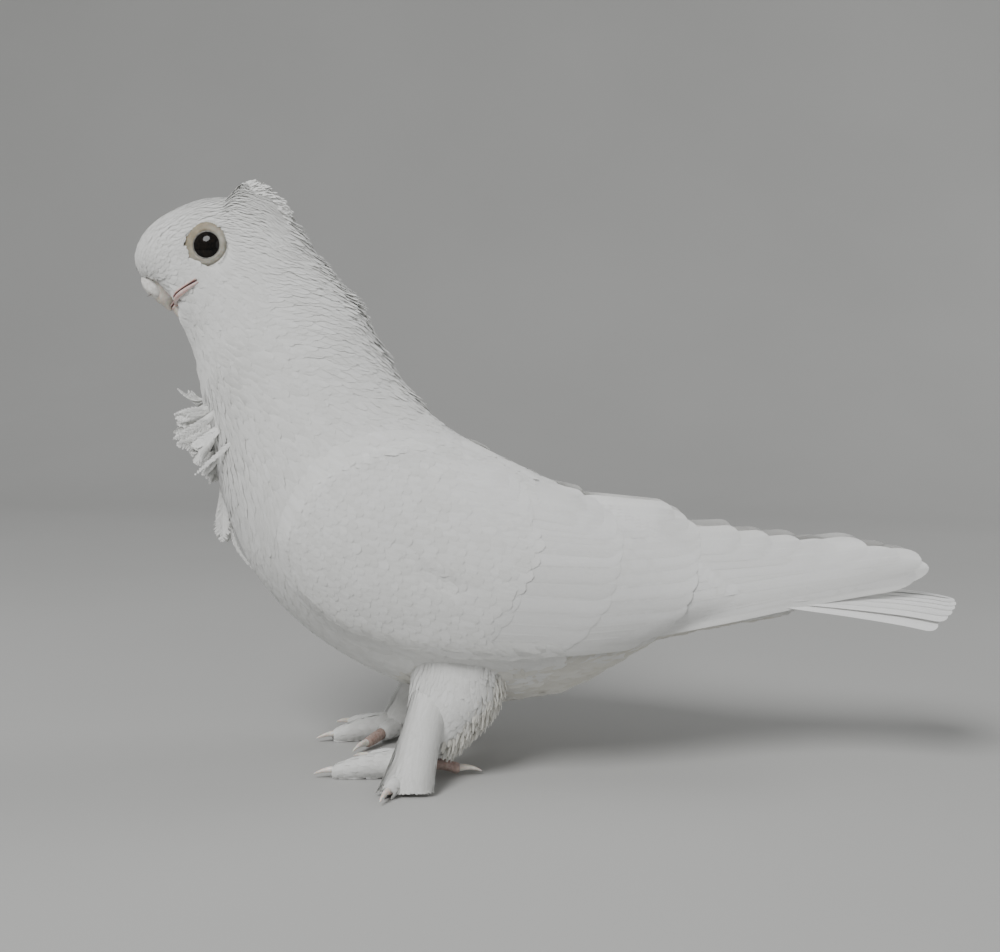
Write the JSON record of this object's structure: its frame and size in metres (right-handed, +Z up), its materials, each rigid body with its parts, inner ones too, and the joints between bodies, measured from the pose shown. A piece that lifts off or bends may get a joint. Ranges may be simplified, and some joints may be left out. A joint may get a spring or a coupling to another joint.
{
  "type": "bunaidi kushk pigeon",
  "caption": "White pigeon with a small peak crest, curled breast frill and feathered feet, standing, as a still life-size model.",
  "frame": {"origin": "on the floor under the middle of the bird's bounding box", "axes": "+Z up, the bird faces -X, its left side is towards -Y, and the tail points to +X"},
  "size_m": [0.3128, 0.1086, 0.2172],
  "materials": {
    "plumage": "soft matte white feathers",
    "cere": "powdery cream skin",
    "bill_horn": "pale flesh-coloured horn",
    "claw_horn": "pale translucent horn",
    "toe_skin": "pink scaly skin",
    "eye": "wet black eye"
  },
  "bodies": {
    "root": {"bill_lower": "bill_horn", "bill_upper": "bill_horn", "cere": "cere", "claw_left_hind": "claw_horn", "claw_left_inner": "claw_horn", "claw_left_middle": "claw_horn", "claw_left_outer": "claw_horn", "claw_right_hind": "claw_horn", "claw_right_inner": "claw_horn", "claw_right_middle": "claw_horn", "claw_right_outer": "claw_horn", "eye_left": "eye", "eye_right": "eye", "eye_ring_left": "cere", "eye_ring_right": "cere", "foot_left": "toe_skin", "foot_right": "toe_skin", "head": "plumage", "leg_left": "plumage", "leg_right": "plumage", "neck": "plumage", "tail": "plumage", "torso": "plumage", "wing_left": "plumage", "wing_right": "plumage"}
  },
  "joints": []
}
